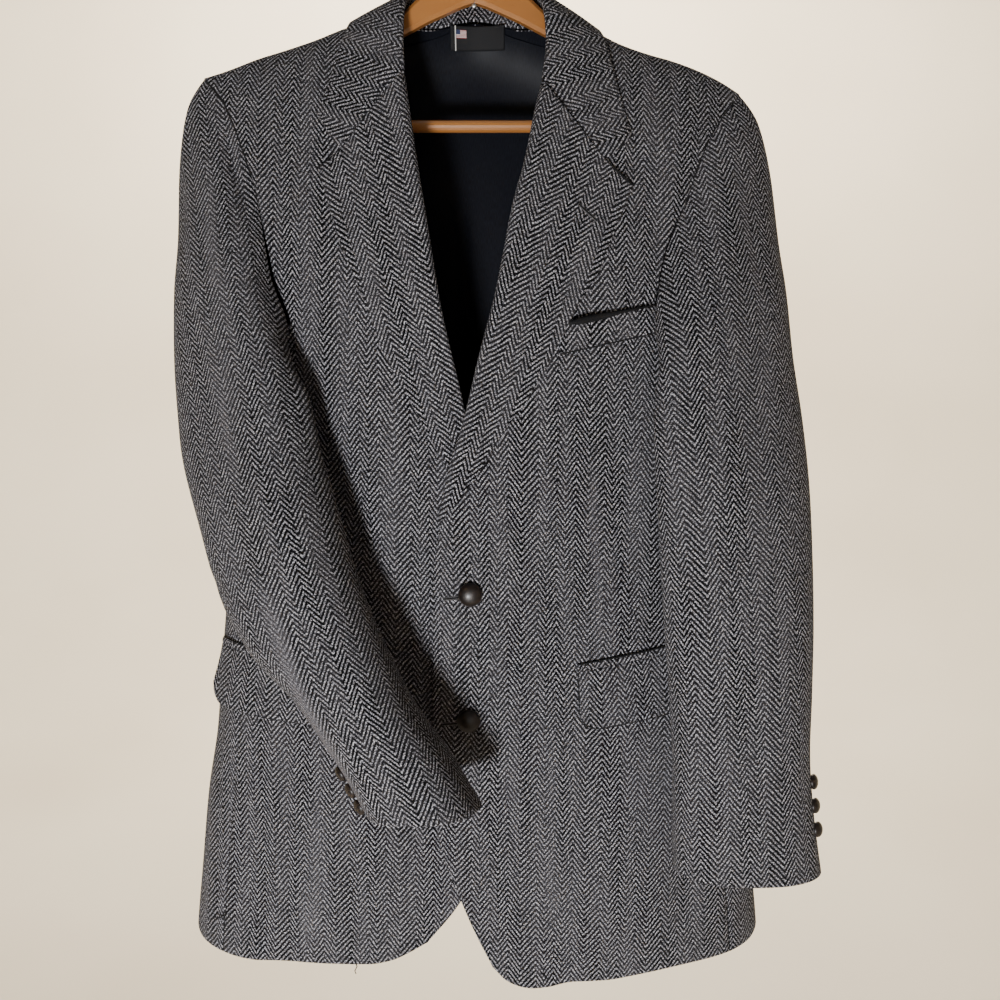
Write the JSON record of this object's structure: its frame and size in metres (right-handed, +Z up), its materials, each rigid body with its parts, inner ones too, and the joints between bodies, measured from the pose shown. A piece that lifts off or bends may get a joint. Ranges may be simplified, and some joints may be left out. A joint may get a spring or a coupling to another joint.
{
  "type": "tweed jacket on a hanger",
  "caption": "Tailored single-breasted jacket in grey herringbone tweed with notch lapels, flapped pockets and fastened front, hanging on a wooden hanger.",
  "frame": {"origin": "inside top of the hanger's hook, where it rests on a rail", "axes": "+Z up, the jacket's front faces -Y, the wearer's right side is -X"},
  "size_m": [0.5603, 0.2356, 0.955],
  "materials": {
    "tweed": "woollen herringbone tweed in charcoal and light grey, napped",
    "lining_satin": "dark navy satin",
    "woven_label": "black woven ribbon, left without lettering",
    "leather_button": "dark brown woven leather look, soft shine",
    "beech": "varnished",
    "steel_wire": "bright bent wire"
  },
  "bodies": {
    "root": {"front_right": "tweed", "front_left": "tweed", "side_right": "tweed", "side_left": "tweed", "back_right": "tweed", "back_left": "tweed", "lapel_right": "tweed", "lapel_left": "tweed", "collar": "tweed", "sleeve_right_upper": "tweed", "sleeve_right_under": "tweed", "sleeve_left_upper": "tweed", "sleeve_left_under": "tweed", "flap_right": "tweed", "flap_left": "tweed", "jet_right": "tweed", "jet_left": "tweed", "breast_welt": "tweed", "lining_back": "lining_satin", "label": "woven_label", "button_front_top": "leather_button", "button_front_bottom": "leather_button", "cuff_button_right_1": "leather_button", "cuff_button_right_2": "leather_button", "cuff_button_right_3": "leather_button", "cuff_button_left_1": "leather_button", "cuff_button_left_2": "leather_button", "cuff_button_left_3": "leather_button", "hanger_arm_right": "beech", "hanger_arm_left": "beech", "hanger_bar": "beech", "hanger_hook": "steel_wire"}
  },
  "joints": []
}
